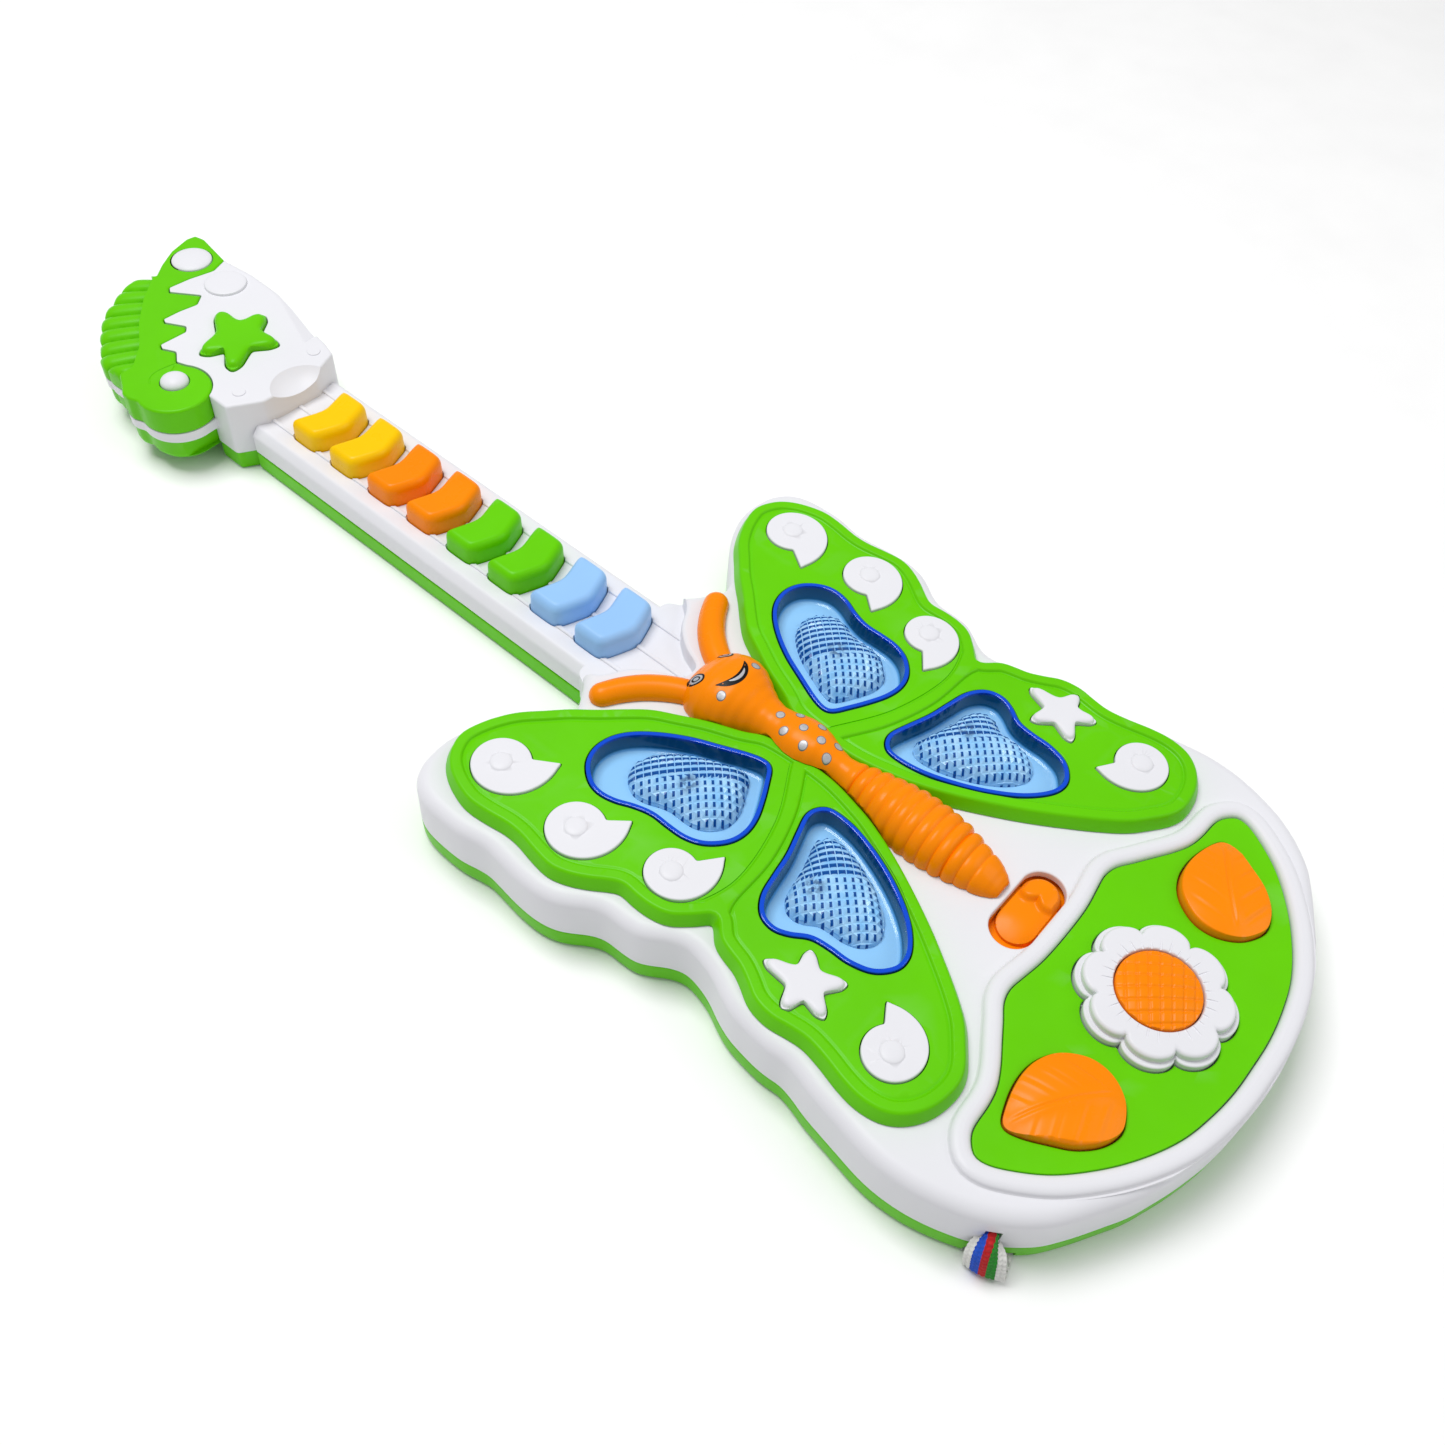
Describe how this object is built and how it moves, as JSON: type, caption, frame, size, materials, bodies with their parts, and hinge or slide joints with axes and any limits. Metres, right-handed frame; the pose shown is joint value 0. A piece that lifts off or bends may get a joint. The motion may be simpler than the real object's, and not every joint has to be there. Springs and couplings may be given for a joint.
{
  "type": "toy electric guitar",
  "caption": "Battery toy guitar lying on its back: butterfly deck with heart lights, neck of chevron keys, tail buttons, power slide and starfish headstock button.",
  "frame": {"origin": "centre of the bounding box's bottom face: the flat back, midway along and across", "axes": "+Y along the neck to the headstock, +X to the right seen from the front, +Z out of the front"},
  "size_m": [0.1612, 0.4454, 0.0338],
  "materials": {
    "white_plastic": "glossy white moulded ABS",
    "green_plastic": "glossy lime green moulded ABS",
    "orange_plastic": "glossy orange moulded ABS",
    "yellow_plastic": "glossy yellow moulded ABS",
    "sky_plastic": "glossy light blue moulded ABS",
    "blue_lens": "clear blue moulded polystyrene",
    "led_glass": "clear LED epoxy",
    "board": "glass-epoxy circuit board",
    "rubber": "grey silicone",
    "steel": "plated steel",
    "speaker_black": "black paper cone and frame",
    "cell_wrap": "wrapped battery can",
    "webbing": "woven striped webbing"
  },
  "bodies": {
    "guitar": {"front_shell": "white_plastic", "back_shell": "green_plastic", "battery_door": "green_plastic", "battery_door_screw": "steel", "wing_left": "green_plastic", "snail_insert_left_1": "white_plastic", "snail_insert_left_2": "white_plastic", "snail_insert_left_3": "white_plastic", "snail_insert_left_4": "white_plastic", "star_insert_left": "white_plastic", "lens_upper_left": "blue_lens", "led_upper_left": "led_glass", "lens_lower_left": "blue_lens", "led_lower_left": "led_glass", "led_board_left": "board", "wing_right": "green_plastic", "snail_insert_right_1": "white_plastic", "snail_insert_right_2": "white_plastic", "snail_insert_right_3": "white_plastic", "snail_insert_right_4": "white_plastic", "star_insert_right": "white_plastic", "lens_upper_right": "blue_lens", "led_upper_right": "led_glass", "lens_lower_right": "blue_lens", "led_lower_right": "led_glass", "led_board_right": "board", "butterfly": "orange_plastic", "leaf_panel": "green_plastic", "head_cap": "green_plastic", "head_dot_large": "white_plastic", "head_dot_small": "white_plastic", "main_board": "board", "button_membrane": "rubber", "switch_body": "steel", "key_board": "board", "key_membrane": "rubber", "head_switch_board": "board", "speaker": "speaker_black", "battery_1": "cell_wrap", "battery_2": "cell_wrap", "battery_3": "cell_wrap", "battery_contact_front": "steel", "battery_contact_rear": "steel", "strap_loop": "webbing", "strap_pin": "white_plastic"},
    "key_1": {"key_1": "sky_plastic"},
    "key_2": {"key_2": "sky_plastic"},
    "key_3": {"key_3": "green_plastic"},
    "key_4": {"key_4": "green_plastic"},
    "key_5": {"key_5": "orange_plastic"},
    "key_6": {"key_6": "orange_plastic"},
    "key_7": {"key_7": "yellow_plastic"},
    "key_8": {"key_8": "yellow_plastic"},
    "head_star_button": {"head_star_button": "green_plastic"},
    "leaf_button_left": {"leaf_button_left": "orange_plastic"},
    "leaf_button_right": {"leaf_button_right": "orange_plastic"},
    "flower": {"flower_button": "white_plastic", "flower_center": "orange_plastic"},
    "power_slide": {"power_knob": "orange_plastic"}
  },
  "joints": [
    {"name": "key_1_press", "type": "slide", "parent": "guitar", "child": "key_1", "axis": [0, 0, -1], "range_m": [0, 0.002], "stiffness_N_per_m": 300, "springref_m": -0.001},
    {"name": "key_2_press", "type": "slide", "parent": "guitar", "child": "key_2", "axis": [0, 0, -1], "range_m": [0, 0.002], "stiffness_N_per_m": 300, "springref_m": -0.001},
    {"name": "key_3_press", "type": "slide", "parent": "guitar", "child": "key_3", "axis": [0, 0, -1], "range_m": [0, 0.002], "stiffness_N_per_m": 300, "springref_m": -0.001},
    {"name": "key_4_press", "type": "slide", "parent": "guitar", "child": "key_4", "axis": [0, 0, -1], "range_m": [0, 0.002], "stiffness_N_per_m": 300, "springref_m": -0.001},
    {"name": "key_5_press", "type": "slide", "parent": "guitar", "child": "key_5", "axis": [0, 0, -1], "range_m": [0, 0.002], "stiffness_N_per_m": 300, "springref_m": -0.001},
    {"name": "key_6_press", "type": "slide", "parent": "guitar", "child": "key_6", "axis": [0, 0, -1], "range_m": [0, 0.002], "stiffness_N_per_m": 300, "springref_m": -0.001},
    {"name": "key_7_press", "type": "slide", "parent": "guitar", "child": "key_7", "axis": [0, 0, -1], "range_m": [0, 0.002], "stiffness_N_per_m": 300, "springref_m": -0.001},
    {"name": "key_8_press", "type": "slide", "parent": "guitar", "child": "key_8", "axis": [0, 0, -1], "range_m": [0, 0.002], "stiffness_N_per_m": 300, "springref_m": -0.001},
    {"name": "leaf_left_press", "type": "slide", "parent": "guitar", "child": "leaf_button_left", "axis": [0, 0, -1], "range_m": [0, 0.002], "stiffness_N_per_m": 300, "springref_m": -0.001},
    {"name": "leaf_right_press", "type": "slide", "parent": "guitar", "child": "leaf_button_right", "axis": [0, 0, -1], "range_m": [0, 0.002], "stiffness_N_per_m": 300, "springref_m": -0.001},
    {"name": "flower_press", "type": "slide", "parent": "guitar", "child": "flower", "axis": [0, 0, -1], "range_m": [0, 0.002], "stiffness_N_per_m": 300, "springref_m": -0.001},
    {"name": "head_star_press", "type": "slide", "parent": "guitar", "child": "head_star_button", "axis": [0, 0, -1], "range_m": [0, 0.002], "stiffness_N_per_m": 300, "springref_m": -0.001},
    {"name": "power_slide_x", "type": "slide", "parent": "guitar", "child": "power_slide", "axis": [1, 0, 0], "range_m": [-0.003, 0]}
  ]
}
